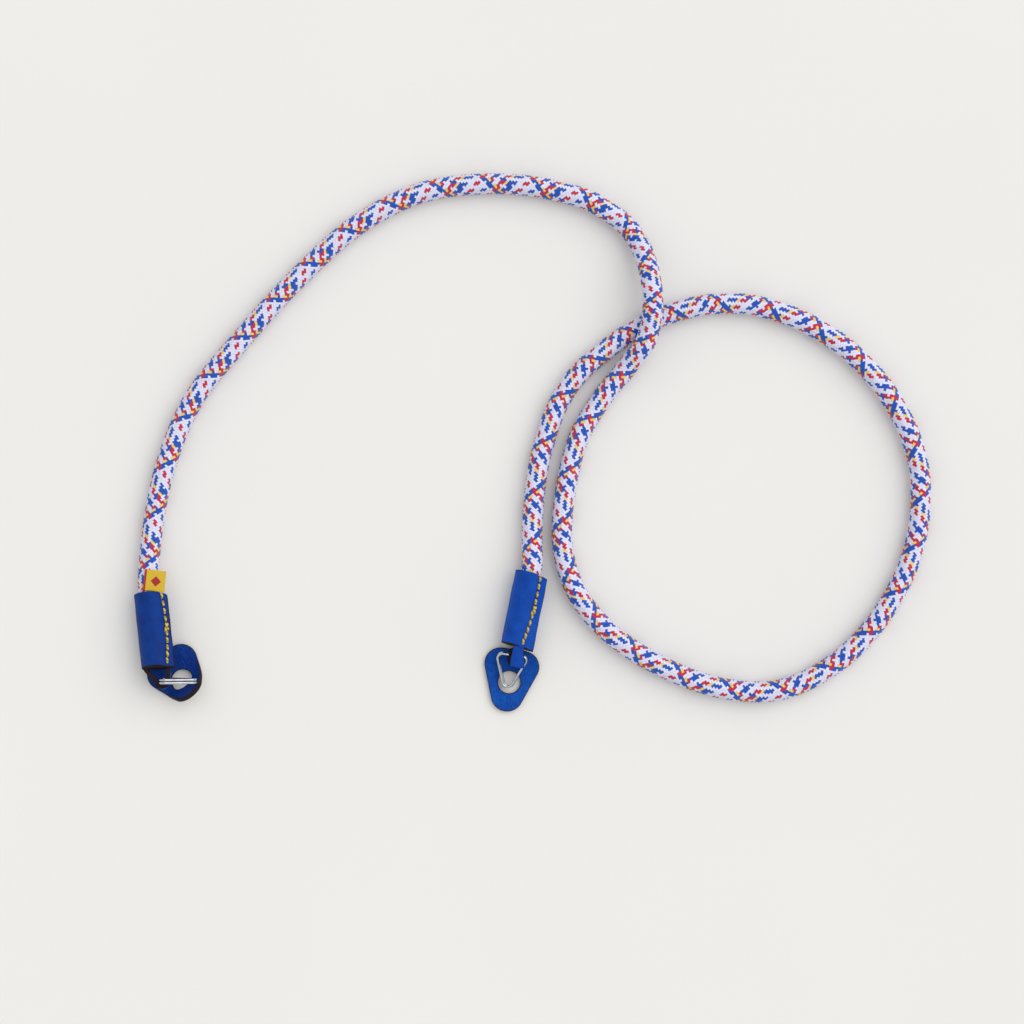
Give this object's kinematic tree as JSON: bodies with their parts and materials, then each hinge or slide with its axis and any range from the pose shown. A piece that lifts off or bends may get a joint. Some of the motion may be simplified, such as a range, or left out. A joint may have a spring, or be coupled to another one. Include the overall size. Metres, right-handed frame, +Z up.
{
  "type": "camera neck strap",
  "caption": "Braided rope neck strap lying in a loose loop, with leather end sleeves, split rings for camera lugs, leather lug pads and a small side tag.",
  "frame": {"origin": "on the table that the strap lies on, at the middle of the box round its two leather ends", "axes": "+Z up from the table, +X from the left end to the right end, +Y from the rings along the sleeves towards the rope"},
  "size_m": [0.313, 0.2115, 0.017],
  "materials": {
    "rope": "braided, matte",
    "leather": "grained, satin",
    "steel": "polished",
    "tag": "woven, matte"
  },
  "bodies": {
    "root": {"braided_rope": "rope", "left_sleeve": "leather", "right_sleeve": "leather", "left_split_ring": "steel", "right_split_ring": "steel", "left_lug_pad": "leather", "right_lug_pad": "leather", "side_tag": "tag"}
  },
  "joints": []
}
